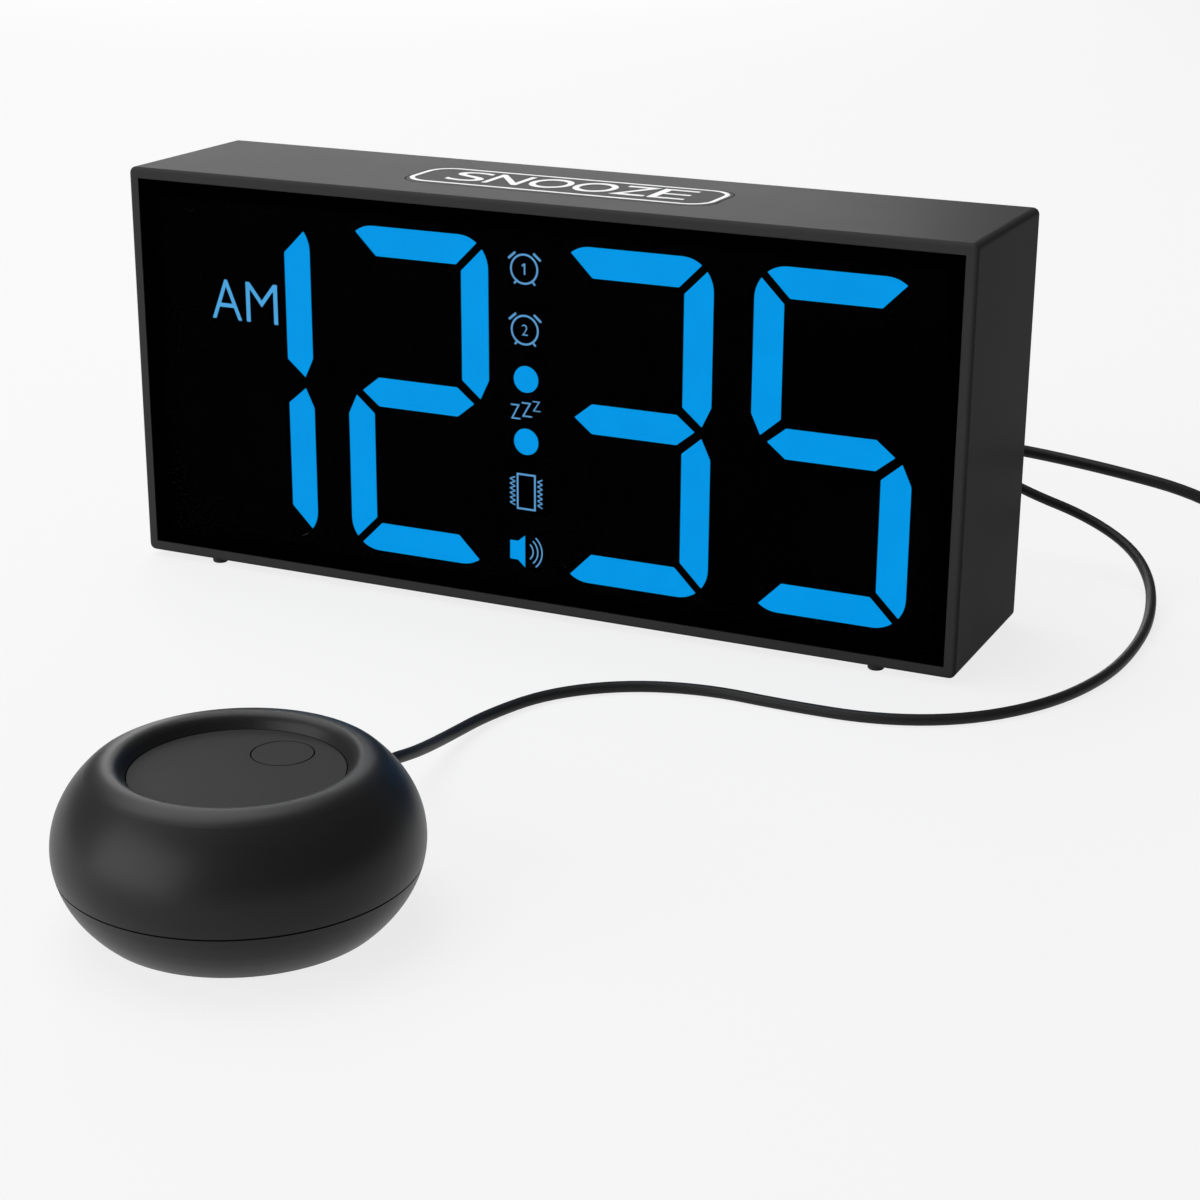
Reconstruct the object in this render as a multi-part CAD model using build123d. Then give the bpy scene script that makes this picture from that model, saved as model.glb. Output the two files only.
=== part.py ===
from build123d import *
import math
import os

os.makedirs("parts", exist_ok=True)

# Bed shaker alarm clock, in millimetres. X runs to the right as seen from the front, Y to the back,
# Z up. The origin is the middle of the clock's footprint, on the table.

# Case
case_width = 190.0
case_height = 86.8
case_depth = 42.0
foot_height = 1.3
wall = 2.3
side_round = 1.4
front_round = 0.9
back_round = 0.5
overrun = 1.0

# Front window
lens_thick = 1.6
lens_recess = 0.15
lens_clearance = 0.1
ledge_width = 1.2
ledge_depth = 1.5
film_gap = 0.25
film_thick = 0.3
film_clearance = 0.2
light_box_depth = 9.5
light_box_clearance = 0.5
board_thick = 1.6
board_clearance = 0.4

# Digits
digit_width = 33.8
digit_margin = 4.4
digit_round = 6.8
digit_place_shares = (-0.3727, -0.1405, 0.1328, 0.3645)
digit_drop = 0.3
bar_width = 6.25
bar_gap = 1.75
bar_thick = 1.8
bar_clearance = 0.05
tip_inset_share = 0.32
tip_rise_share = 0.72
tip_slope_share = 2.1
cross_tip_share = 0.9
dot_radius = 2.8
dot_place_share = -0.001
dot_height_shares = (0.094, -0.094)

# Rear cover and the long screws that clamp the display board
cover_thick = 2.2
rim_wall = 1.2
cover_clearance = 0.15
screw_inset = 4.2
post_floor = 1.0
post_gap = 0.2
cover_tube_radius = 4.0
case_screw_radius = 1.45
case_screw_hole = 1.5
case_screw_pass = 1.7
case_screw_head = 2.75
case_screw_head_thick = 2.0
case_screw_sink = 2.0
head_clearance = 0.15
case_screw_tip_gap = 1.3

# Keys and their switches
key_gap = 0.25
key_flange_lip = 0.8
key_flange_thick = 1.0
key_flange_gap = 0.3
key_nose_radius = 1.65
nose_entry = 0.4
key_board_gap = 9.8
switch_side = 6.0
switch_height = 4.3
switch_mouth = 1.75
switch_mouth_depth = 1.5
snooze_length = 70.6
snooze_width = 19.0
snooze_round = 5.5
snooze_travel = 1.0
rear_key_length = 10.0
rear_key_height = 6.0
rear_key_round = 2.0
rear_key_proud = 1.2
rear_key_rise_share = 0.25
rear_key_place_shares = (0.161, 0.336, 0.511, 0.686, 0.861)

# Small clock parts
foot_radius = 1.7
foot_round = 0.4
foot_sink = 0.6
foot_side_inset = 17.2
foot_end_inset = 2.9
speaker_place_share = -0.3236
speaker_radius = 19.0
battery_place_share = -0.0917
slider_drop_share = 0.223
slide_knob_length = 3.6
slide_knob_height = 3.0
slide_knob_proud = 1.0
wheel_place_share = 0.5093
wheel_radius = 8.0
wheel_thick = 3.0
wheel_proud = 1.6
socket_drop_share = 0.253
power_socket_place_share = 0.857
shaker_socket_place_share = 0.658
plug_end_y = 40.0

# Main board
main_board_left_share = 0.0162
main_board_side_gap = 1.0
main_board_end_gap = 8.1

# Cords
power_cord_diameter = 2.6
shaker_cord_diameter = 2.3
bend_share = 0.45

# Shaker
shaker_x = 23.0
shaker_y = -166.0
shaker_turn = 88.0
shaker_radius = 29.4
shaker_bulge = 20.4
shaker_waist = 13.0
shaker_seam = 9.7
seam_gap = 0.3
shaker_wall = 2.0
shaker_base_lift = 0.6
pad_radius = 16.5
pad_sink = 0.4
disc_radius = 17.0
disc_height = 24.4
disc_thick = 1.2
disc_gap = 0.2
disc_floor = 1.6
shaker_key_radius = 4.9
shaker_key_across = 2.3
shaker_key_along = 9.2
shaker_board_gap = 6.7

# Levels that follow from the sizes above
front_y = -case_depth / 2
back_y = case_depth / 2
base_z = foot_height
top_z = foot_height + case_height
mid_z = foot_height + case_height / 2
foot_x = case_width / 2 - foot_side_inset
foot_y = back_y - foot_end_inset
inside_width = case_width - 2 * wall
inside_height = case_height - 2 * wall
window_width = inside_width - 2 * ledge_width
window_height = inside_height - 2 * ledge_width
lens_back = front_y + lens_recess + lens_thick
ledge_back = lens_back + ledge_depth
film_front = lens_back + film_gap
film_back = film_front + film_thick
post_front = film_front + bar_thick + post_gap
board_front = film_back + light_box_depth
board_back = board_front + board_thick
cover_front = back_y - cover_thick
main_board_back = cover_front - key_board_gap
main_board_front = main_board_back - board_thick
light_box_height = inside_height - 2 * (key_flange_gap + key_flange_thick + snooze_travel + light_box_clearance)
digit_height = window_height - 2 * digit_margin
dot_x = dot_place_share * window_width
dot_heights = [share * digit_height - digit_drop for share in dot_height_shares]
screw_x = inside_width / 2 - screw_inset
screw_z = inside_height / 2 - screw_inset
main_board_left = main_board_left_share * inside_width
main_board_right = screw_x - cover_tube_radius - main_board_side_gap
main_board_width = main_board_right - main_board_left
main_board_height = inside_height - 2 * main_board_end_gap
speaker_x = speaker_place_share * inside_width
battery_x = battery_place_share * inside_width
wheel_x = main_board_left + wheel_place_share * main_board_width
power_socket_x = main_board_left + power_socket_place_share * main_board_width
shaker_socket_x = main_board_left + shaker_socket_place_share * main_board_width
socket_z = mid_z - socket_drop_share * main_board_height
rear_key_z = mid_z + rear_key_rise_share * main_board_height

key_names = ("time_key", "alarm_1_key", "alarm_2_key", "up_key", "down_key")
key_places = [main_board_left + share * main_board_width for share in rear_key_place_shares]

nodes = {}


def keep(name, *solids):
    nodes[name] = solids


def block(x, y, z):
    middle = Pos((x[0] + x[1]) / 2, (y[0] + y[1]) / 2, (z[0] + z[1]) / 2)
    return middle * Box(x[1] - x[0], y[1] - y[0], z[1] - z[0])


def rod(start, direction, radius, length):
    return extrude(Plane(origin=start, z_dir=direction) * Circle(radius), amount=length)


def cone(start, direction, radius, end_radius, length):
    shape = Cone(radius, end_radius, length, align=(Align.CENTER, Align.CENTER, Align.MIN))
    return Plane(origin=start, z_dir=direction) * shape


def plate(outline, front, thick):
    """An outline on the clock's face, measured from the middle of the face, made thick to the back."""
    face = Plane(origin=(0, front, mid_z), x_dir=(1, 0, 0), z_dir=(0, -1, 0))
    return extrude(face * outline, amount=thick, dir=(0, 1, 0))


def four_corners(x, z):
    return [(sx * x, sz * z) for sx in (-1, 1) for sz in (-1, 1)]


# Keys. Each sits on a plane whose z is 0 on the wall's inner face and points out of the case.

def snooze_outline(grow=0.0):
    return RectangleRounded(snooze_length + 2 * grow, snooze_width + 2 * grow, snooze_round + grow)


def rear_key_outline(grow=0.0):
    return RectangleRounded(rear_key_length + 2 * grow, rear_key_height + 2 * grow, rear_key_round + grow)


def shaker_key_outline(grow=0.0):
    return Circle(shaker_key_radius + grow)


def press_key(seat, outline, wall_here, proud, board_gap):
    flange_low = -key_flange_gap - key_flange_thick
    cap = extrude(seat.offset(flange_low) * outline(), amount=wall_here + proud - flange_low)
    flange = extrude(seat.offset(flange_low) * outline(key_flange_lip), amount=key_flange_thick)
    nose_length = board_gap + flange_low - switch_height + nose_entry
    nose = extrude(seat.offset(flange_low) * Circle(key_nose_radius), amount=-nose_length)
    return cap + flange + nose


def tact_switch(seat, board_gap):
    body = extrude(seat.offset(-board_gap) * Rectangle(switch_side, switch_side), amount=switch_height)
    mouth_floor = switch_height - switch_mouth_depth - board_gap
    return body - extrude(seat.offset(mouth_floor) * Circle(switch_mouth), amount=switch_mouth_depth)


snooze_seat = Plane(origin=(0, 0, top_z - wall), z_dir=(0, 0, 1))
snooze_board_top = top_z - wall - key_board_gap
snooze_board_length = 100.0
snooze_board_front_gap = 1.6
snooze_board_back_gap = 1.4
snooze_boss_x = 44.0
snooze_boss_radius = 3.0
small_screw_radius = 1.0
small_screw_hole = 1.1
small_screw_head = 2.0
small_screw_head_thick = 1.4
small_screw_grip = 4.5


def rear_seat(x, z):
    return Plane(origin=(x, cover_front, z), x_dir=(1, 0, 0), z_dir=(0, 1, 0))


def make_keys():
    keep("snooze_key", press_key(snooze_seat, snooze_outline, wall, 0, key_board_gap))
    for name, x in zip(key_names, key_places):
        seat = rear_seat(x, rear_key_z)
        keep(name, press_key(seat, rear_key_outline, cover_thick, rear_key_proud, key_board_gap))
    keep("key_switches", *[tact_switch(rear_seat(x, rear_key_z), key_board_gap) for x in key_places])


def make_snooze_board():
    half_length = snooze_board_length / 2
    board = block((-half_length, half_length),
                  (board_back + snooze_board_front_gap, main_board_front - snooze_board_back_gap),
                  (snooze_board_top - board_thick, snooze_board_top))
    for side in (-1, 1):
        board -= rod((side * snooze_boss_x, 0, snooze_board_top), (0, 0, -1), small_screw_hole, board_thick)
    keep("snooze_board", board, tact_switch(snooze_seat, key_board_gap))


# Housing: the frame round the window and the four walls are one moulding.

def corner_post(x, z):
    """A square post in a corner of the walls, from behind the bars to the display board."""
    side = 2 * screw_inset
    post = plate(Pos(x, z) * Rectangle(side, side), post_front, board_front - post_front)
    pilot = plate(Pos(x, z) * Circle(case_screw_hole), post_front + post_floor, board_front - post_front)
    return post - pilot


def make_housing():
    shell = block((-case_width / 2, case_width / 2), (front_y, back_y), (base_z, top_z))
    shell = fillet(shell.edges().filter_by(Axis.Y), side_round)
    shell = fillet(shell.faces().sort_by(Axis.Y)[0].edges(), front_round)
    shell = fillet(shell.faces().sort_by(Axis.Y)[-1].edges(), back_round)
    inside = Rectangle(inside_width, inside_height)
    shell -= plate(inside, front_y - overrun, lens_back - front_y + overrun)
    shell -= plate(Rectangle(window_width, window_height), lens_back, ledge_depth)
    shell -= plate(inside, ledge_back, case_depth)
    rim = Rectangle(case_width - 2 * rim_wall, case_height - 2 * rim_wall)
    shell -= plate(rim, cover_front, case_depth)
    for x, z in four_corners(screw_x, screw_z):
        shell += corner_post(x, z)
    shell -= extrude(snooze_seat.offset(-overrun) * snooze_outline(key_gap), amount=wall + 2 * overrun)
    for side in (-1, 1):
        top = (side * snooze_boss_x, 0, top_z - wall)
        shell += rod(top, (0, 0, -1), snooze_boss_radius, key_board_gap)
        low = (side * snooze_boss_x, 0, snooze_board_top)
        shell -= rod(low, (0, 0, 1), small_screw_radius, small_screw_grip)
    for x, y in four_corners(foot_x, foot_y):
        shell -= rod((x, y, base_z), (0, 0, 1), foot_radius, foot_sink)
    keep("housing", shell)


def make_feet():
    feet = []
    for x, y in four_corners(foot_x, foot_y):
        foot = rod((x, y, 0), (0, 0, 1), foot_radius, base_z + foot_sink)
        feet.append(fillet(foot.faces().sort_by(Axis.Z)[0].edges(), foot_round))
    keep("feet", *feet)


# Display: lens, film, light box, digit bars, board and LEDs, from front to back.

def bar_outlines():
    """The seven bars of one digit about its middle, by their usual letters."""
    half_w = digit_width / 2
    half_h = digit_height / 2
    mitre = bar_gap / math.sqrt(2)
    inner = half_w - bar_width
    tip_inset = tip_inset_share * bar_width
    tip_rise = tip_rise_share * bar_gap
    top = [(-half_w + mitre, half_h), (half_w - mitre, half_h),
           (inner - mitre, half_h - bar_width), (mitre - inner, half_h - bar_width)]
    side = [(half_w, half_h - mitre), (half_w, tip_rise + tip_slope_share * tip_inset),
            (half_w - tip_inset, tip_rise), (inner, bar_width / 2 + bar_gap),
            (inner, half_h - bar_width - mitre)]
    cross_tip = half_w - tip_inset - cross_tip_share * bar_gap
    middle = [(cross_tip, 0), (inner - mitre, bar_width / 2), (mitre - inner, bar_width / 2),
              (-cross_tip, 0), (mitre - inner, -bar_width / 2), (inner - mitre, -bar_width / 2)]
    outlines = {
        "a": top,
        "b": side,
        "c": [(x, -z) for x, z in side],
        "d": [(x, -z) for x, z in top],
        "e": [(-x, -z) for x, z in side],
        "f": [(-x, z) for x, z in side],
        "g": middle,
    }
    cell = RectangleRounded(digit_width, digit_height, digit_round)
    return {letter: make_face(Polyline(*points, close=True)) & cell for letter, points in outlines.items()}


lit_letters = {
    "hour_tens_bars": "bc",
    "hour_units_bars": "abged",
    "minute_tens_bars": "abgcd",
    "minute_units_bars": "afgcd",
}
digit_places = [share * window_width for share in digit_place_shares]


def snooze_notch():
    """What the light box and the display board leave free under the snooze key."""
    drop = inside_height - light_box_height
    length = snooze_length + 2 * (key_flange_lip + overrun)
    return Pos(0, inside_height / 2) * Rectangle(length, drop)


def make_display():
    bars = {letter: Pos(0, -digit_drop) * outline for letter, outline in bar_outlines().items()}
    dots = [Pos(dot_x, z) * Circle(dot_radius) for z in dot_heights]
    dark = []
    windows = [Pos(dot_x, z) * Circle(dot_radius + bar_clearance) for z in dot_heights]
    for (name, lit), x in zip(lit_letters.items(), digit_places):
        glowing = []
        for letter, outline in bars.items():
            solid = plate(Pos(x, 0) * outline, film_front, bar_thick)
            if letter in lit:
                glowing.append(solid)
            else:
                dark.append(solid)
            windows.append(Pos(x, 0) * offset(outline, bar_clearance))
        keep(name, *glowing)
    keep("dark_bars", *dark)
    keep("colon_dots", *[plate(dot, film_front, bar_thick) for dot in dots])

    lens = Rectangle(inside_width - 2 * lens_clearance, inside_height - 2 * lens_clearance)
    keep("lens", plate(lens, front_y + lens_recess, lens_thick))

    holes = Sketch() + windows
    film = Rectangle(window_width - 2 * film_clearance, window_height - 2 * film_clearance) - holes
    keep("display_film", plate(film, film_front, film_thick))

    box = Rectangle(window_width - 2 * film_clearance, light_box_height) - holes
    side = 2 * (screw_inset + post_gap)
    for x, z in four_corners(inside_width / 2, inside_height / 2):
        box -= Pos(x, z) * Rectangle(2 * side, 2 * side)
    keep("light_box", plate(box, film_back, light_box_depth))

    board = Rectangle(inside_width - 2 * board_clearance, inside_height - 2 * board_clearance)
    board -= snooze_notch()
    for x, z in four_corners(screw_x, screw_z):
        board -= Pos(x, z) * Circle(case_screw_pass)
    keep("display_board", plate(board, board_front, board_thick))


led_length = 3.5
led_width = 2.8
led_thick = 0.8
led_spread_share = 0.22


def make_leds():
    """Two LEDs behind each bar and one behind each dot."""
    spread = led_spread_share * digit_width
    side_x = (digit_width - bar_width) / 2
    row = digit_height / 4
    rise = (digit_height - bar_width) / 2
    places = [(dot_x, z) for z in dot_heights]
    for x in digit_places:
        for level in (-rise, 0, rise):
            places += [(x - spread, level - digit_drop), (x + spread, level - digit_drop)]
        for side in (-side_x, side_x):
            for level in (-row - digit_drop, row - digit_drop):
                places += [(x + side, level - spread), (x + side, level + spread)]
    lamp = Rectangle(led_width, led_length)
    keep("display_leds", *[plate(Pos(*place) * lamp, board_front - led_thick, led_thick) for place in places])


# Main board, sliders, dimmer wheel and sockets, behind the display.

standoff_inset = 4.2
standoff_radius = 2.6
mode_slider_place_share = 0.18
volume_slider_place_share = 0.345
slide_body = (11.0, 6.0, 4.2)
slide_shoulder = (6.0, 4.4)
slide_play = 0.1
slide_slot_play = 0.3
mode_travel = 2.5
volume_travel = 3.0
wheel_play = 0.4
wheel_bore_play = 0.05
wheel_pin_radius = 2.0
wheel_teeth = 30
tooth_radius = 0.5
pot_width = 13.0
pot_depth = 9.0
pot_height = 4.5
wheel_gap = 0.3
wheel_y = back_y + wheel_proud - wheel_radius
wheel_z = mid_z
slider_z = mid_z - slider_drop_share * main_board_height
mode_slider_x = main_board_left + mode_slider_place_share * main_board_width
volume_slider_x = main_board_left + volume_slider_place_share * main_board_width


def standoff_places():
    x_low = main_board_left + standoff_inset
    x_high = main_board_right - standoff_inset
    z = main_board_height / 2 - standoff_inset
    return [(x, level) for x in (x_low, x_high) for level in (-z, z)]


def wheel_slot(front, thick):
    """The opening that the dimmer wheel needs in a plate, from the wheel's width at the plate."""
    near = min(abs(front - wheel_y), abs(front + thick - wheel_y), wheel_radius)
    half = math.sqrt(wheel_radius ** 2 - near ** 2) + wheel_play
    outline = Pos(wheel_x, 0) * Rectangle(2 * half, wheel_thick + 2 * wheel_play)
    return plate(outline, front - overrun, thick + 2 * overrun)


def make_main_board():
    middle = Pos((main_board_right + main_board_left) / 2, 0)
    board = plate(middle * Rectangle(main_board_width, main_board_height), main_board_front, board_thick)
    board -= wheel_slot(main_board_front, board_thick)
    for x, z in standoff_places():
        board -= plate(Pos(x, z) * Circle(small_screw_hole), main_board_front, board_thick)
    keep("main_board", board)


def slide_switch(x):
    length, height, deep = slide_body
    low = main_board_back
    return block((x - length / 2, x + length / 2), (low, low + deep),
                 (slider_z - height / 2, slider_z + height / 2))


def slide_knob(x):
    shoulder_low = main_board_back + slide_body[2] + slide_play
    shoulder_high = cover_front - key_flange_gap
    half_x = slide_shoulder[0] / 2
    half_z = slide_shoulder[1] / 2
    shoulder = block((x - half_x, x + half_x), (shoulder_low, shoulder_high),
                     (slider_z - half_z, slider_z + half_z))
    knob = block((x - slide_knob_length / 2, x + slide_knob_length / 2),
                 (shoulder_low, back_y + slide_knob_proud),
                 (slider_z - slide_knob_height / 2, slider_z + slide_knob_height / 2))
    return shoulder + knob


def slide_slot(low, high):
    half_z = slide_knob_height / 2 + slide_slot_play
    half_x = slide_knob_length / 2 + slide_slot_play
    return block((low - half_x, high + half_x), (cover_front - overrun, back_y + overrun),
                 (slider_z - half_z, slider_z + half_z))


def make_sliders():
    keep("slide_switches", slide_switch(mode_slider_x), slide_switch(volume_slider_x + volume_travel / 2))
    keep("mode_slider", slide_knob(mode_slider_x))
    keep("volume_slider", slide_knob(volume_slider_x))


def make_dimmer():
    low = wheel_z - wheel_thick / 2
    wheel = rod((wheel_x, wheel_y, low), (0, 0, 1), wheel_radius, wheel_thick)
    wheel -= rod((wheel_x, wheel_y, low), (0, 0, 1), wheel_pin_radius + wheel_bore_play, wheel_thick)
    for i in range(wheel_teeth):
        turn = 2 * math.pi * i / wheel_teeth
        spot = (wheel_x + wheel_radius * math.cos(turn), wheel_y + wheel_radius * math.sin(turn), low)
        wheel -= rod(spot, (0, 0, 1), tooth_radius, wheel_thick)
    keep("dimmer_wheel", wheel)
    top = low - wheel_gap
    pot = block((wheel_x - pot_width / 2, wheel_x + pot_width / 2),
                (main_board_back, main_board_back + pot_depth), (top - pot_height, top))
    pot += rod((wheel_x, wheel_y, top - pot_height), (0, 0, 1), wheel_pin_radius,
               pot_height + wheel_gap + wheel_thick)
    keep("dimmer_pot", pot)


socket_mouth_gap = 0.2
socket_width = 9.0
socket_height = 10.0
plug_pin_radius = 1.75
plug_pin_play = 0.1
plug_pin_length = 8.6
plug_end_gap = 0.4
plug_grip_radius = 4.0
shaker_grip_radius = 3.6
plug_hole_play = 0.3
relief_length = 8.0
relief_radius = 2.7
relief_overlap = 0.4


def socket(x):
    mouth = cover_front - socket_mouth_gap
    body = block((x - socket_width / 2, x + socket_width / 2), (main_board_back, mouth),
                 (socket_z - socket_height / 2, socket_z + socket_height / 2))
    bore_length = plug_pin_length + plug_end_gap
    return body - rod((x, mouth, socket_z), (0, -1, 0), plug_pin_radius + plug_pin_play, bore_length)


def plug_pin(x):
    return rod((x, cover_front, socket_z), (0, -1, 0), plug_pin_radius, plug_pin_length)


def plug_grip(x, radius, cord_diameter):
    grip_length = plug_end_y - relief_length - cover_front
    grip = rod((x, cover_front, socket_z), (0, 1, 0), radius, grip_length)
    grip = chamfer(grip.faces().sort_by(Axis.Y)[-1].edges(), relief_overlap)
    start = (x, cover_front + grip_length - relief_overlap, socket_z)
    end_radius = cord_diameter / 2 + relief_overlap
    return grip + cone(start, (0, 1, 0), relief_radius, end_radius, relief_length + relief_overlap)


def make_sockets_and_plugs():
    keep("power_socket", socket(power_socket_x))
    keep("shaker_socket", socket(shaker_socket_x))
    keep("power_plug_pin", plug_pin(power_socket_x))
    keep("shaker_plug_pin", plug_pin(shaker_socket_x))
    keep("power_plug_grip", plug_grip(power_socket_x, plug_grip_radius, power_cord_diameter))
    keep("shaker_plug_grip", plug_grip(shaker_socket_x, shaker_grip_radius, shaker_cord_diameter))


# Loudspeaker, clamped to the rear cover behind its grille.

grille_hole = 1.0
grille_pitch = 3.9
grille_rings = 4
speaker_flange_thick = 1.4
speaker_depth = 9.0
speaker_lip = 2.5
speaker_throat = 11.0
speaker_shell = 0.9
cone_thick = 0.3
cone_sink = 0.3
cone_play = 0.1
cone_roll = 2.0
dust_cap_radius = 6.0
dust_cap_depth = 6.3
dust_cap_rise = 0.6
magnet_radius = 11.5
magnet_depth = 5.0
clamp_rib = 1.2
clamp_rib_depth = 2.4
clamp_play = 0.2


def grille_places():
    places = [(speaker_x, 0)]
    for ring in range(1, grille_rings + 1):
        count = 6 * ring
        for i in range(count):
            turn = 2 * math.pi * i / count
            reach = ring * grille_pitch
            places.append((speaker_x + reach * math.cos(turn), reach * math.sin(turn)))
    return places


def speaker_profile(points):
    """Turns a profile of (radius, depth behind the cover) about the loudspeaker's axis."""
    axis_plane = Plane(origin=(speaker_x, cover_front, mid_z), x_dir=(1, 0, 0), z_dir=(0, 0, 1))
    face = axis_plane * make_face(Polyline(*[(r, -depth) for r, depth in points], close=True))
    return revolve(face, axis=Axis((speaker_x, cover_front, mid_z), (0, 1, 0)))


def make_speaker():
    rim = speaker_radius - speaker_lip
    shelf = cone_sink + cone_thick
    frame = [(speaker_radius, 0), (speaker_radius, speaker_flange_thick),
             (rim, speaker_flange_thick), (speaker_throat, speaker_depth), (0, speaker_depth),
             (0, speaker_depth - speaker_shell), (speaker_throat - speaker_shell, speaker_depth - speaker_shell),
             (rim - speaker_shell, shelf), (rim, shelf), (rim, 0)]
    keep("speaker_frame", speaker_profile(frame))
    edge = rim - cone_play
    fold = rim - cone_roll
    paper = [(edge, cone_sink), (fold, cone_sink), (dust_cap_radius, dust_cap_depth - cone_thick),
             (0, dust_cap_depth - cone_thick - dust_cap_rise), (0, dust_cap_depth - dust_cap_rise),
             (dust_cap_radius, dust_cap_depth), (fold, shelf), (edge, shelf)]
    keep("speaker_cone", speaker_profile(paper))
    magnet = [(0, speaker_depth), (magnet_radius, speaker_depth),
              (magnet_radius, speaker_depth + magnet_depth), (0, speaker_depth + magnet_depth)]
    keep("speaker_magnet", speaker_profile(magnet))


# Backup cell behind its own door in the rear cover.

door_width = 27.0
door_height = 25.0
door_thick = 1.5
door_gap = 0.2
well_width = 23.5
well_height = 22.0
cup_wall = 1.4
cup_depth = 6.0
cell_radius = 10.0
cell_thick = 3.2
contact_thick = 0.3
contact_width = 6.0
door_rib_gap = 0.3
door_rib_side = 2.0
door_rib_x = 6.0
door_notch_radius = 4.0
door_notch_depth = 0.7


def make_battery():
    floor = cover_front - cup_depth + cup_wall
    centre = Pos(battery_x, 0)
    door_inside = back_y - door_thick
    door = plate(centre * Rectangle(door_width, door_height), door_inside, door_thick)
    cell_front = floor + contact_thick
    rib_low = cell_front + cell_thick + door_rib_gap
    for side in (-1, 1):
        rib = Pos(battery_x + side * door_rib_x, 0) * Rectangle(door_rib_side, well_height / 2)
        door += plate(rib, rib_low, door_inside - rib_low)
    notch = Pos(battery_x, -door_height / 2) * Circle(door_notch_radius)
    door -= plate(notch, back_y - door_notch_depth, door_notch_depth)
    keep("battery_door", door)
    keep("coin_cell", plate(centre * Circle(cell_radius), cell_front, cell_thick))
    under = plate(centre * Rectangle(contact_width, well_height), floor, contact_thick)
    beside_x = battery_x + cell_radius
    beside = plate(Pos(beside_x + contact_thick / 2, 0) * Rectangle(contact_thick, contact_width),
                   cell_front, cell_thick)
    keep("cell_contacts", under, beside)


def battery_cup():
    outer = Pos(battery_x, 0) * Rectangle(well_width + 2 * cup_wall, well_height + 2 * cup_wall)
    return plate(outer, cover_front - cup_depth, cup_depth)


def battery_well():
    seat = Pos(battery_x, 0) * Rectangle(door_width + 2 * door_gap, door_height + 2 * door_gap)
    well = Pos(battery_x, 0) * Rectangle(well_width, well_height)
    floor = cover_front - cup_depth + cup_wall
    return plate(seat, back_y - door_thick, case_depth) + plate(well, floor, case_depth)


# Rear cover, with all it carries, and the screws.

def make_rear_cover():
    width = case_width - 2 * (rim_wall + cover_clearance)
    height = case_height - 2 * (rim_wall + cover_clearance)
    cover = plate(Rectangle(width, height), cover_front, cover_thick)
    cover += battery_cup()
    tube_length = cover_front - board_back
    for x, z in four_corners(screw_x, screw_z):
        cover += plate(Pos(x, z) * Circle(cover_tube_radius), board_back, tube_length)
    for x, z in standoff_places():
        cover += plate(Pos(x, z) * Circle(standoff_radius), main_board_back, key_board_gap)
    ring = Pos(speaker_x, 0) * Circle(speaker_radius + clamp_play + clamp_rib)
    ring -= Pos(speaker_x, 0) * Circle(speaker_radius + clamp_play)
    cover += plate(ring, cover_front - clamp_rib_depth, clamp_rib_depth)
    cover -= battery_well()
    head_floor = back_y - case_screw_sink - case_screw_head_thick
    for x, z in four_corners(screw_x, screw_z):
        cover -= plate(Pos(x, z) * Circle(case_screw_pass), board_back, case_depth)
        cover -= plate(Pos(x, z) * Circle(case_screw_head + head_clearance), head_floor, case_depth)
    for x, z in standoff_places():
        cover -= plate(Pos(x, z) * Circle(small_screw_radius), main_board_back, small_screw_grip)
    for x, z in grille_places():
        cover -= plate(Pos(x, z) * Circle(grille_hole), cover_front - overrun, cover_thick + 2 * overrun)
    for x in key_places:
        hole = rear_seat(x, rear_key_z).offset(-overrun) * rear_key_outline(key_gap)
        cover -= extrude(hole, amount=cover_thick + 2 * overrun)
    for x, radius in ((power_socket_x, plug_grip_radius), (shaker_socket_x, shaker_grip_radius)):
        cover -= rod((x, cover_front, socket_z), (0, 1, 0), radius + plug_hole_play, cover_thick)
    cover -= slide_slot(mode_slider_x - mode_travel, mode_slider_x + mode_travel)
    cover -= slide_slot(volume_slider_x, volume_slider_x + volume_travel)
    cover -= wheel_slot(cover_front, cover_thick)
    keep("rear_cover", cover)


def make_screws():
    head_floor = back_y - case_screw_sink - case_screw_head_thick
    tip = post_front + post_floor + case_screw_tip_gap
    long_screws = []
    for x, z in four_corners(screw_x, screw_z):
        shank = plate(Pos(x, z) * Circle(case_screw_radius), tip, head_floor - tip)
        head = plate(Pos(x, z) * Circle(case_screw_head), head_floor, case_screw_head_thick)
        slot_width = case_screw_radius / 2
        slot = plate(Pos(x, z) * Rectangle(2 * case_screw_head, slot_width),
                     back_y - case_screw_sink - slot_width, case_screw_head_thick)
        long_screws.append(shank + head - slot)
    keep("case_screws", *long_screws)
    short_screws = []
    for x, z in standoff_places():
        head = plate(Pos(x, z) * Circle(small_screw_head), main_board_front - small_screw_head_thick,
                     small_screw_head_thick)
        shank = plate(Pos(x, z) * Circle(small_screw_radius), main_board_front,
                      board_thick + small_screw_grip - small_screw_hole)
        short_screws.append(head + shank)
    for side in (-1, 1):
        low = snooze_board_top - board_thick
        place = (side * snooze_boss_x, 0, low)
        head = rod(place, (0, 0, -1), small_screw_head, small_screw_head_thick)
        shank = rod(place, (0, 0, 1), small_screw_radius, board_thick + small_screw_grip - small_screw_hole)
        short_screws.append(head + shank)
    keep("board_screws", *short_screws)


# Shaker. It is drawn about its own axis with the cord leaving along +Y, then turned and set in place.

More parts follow.
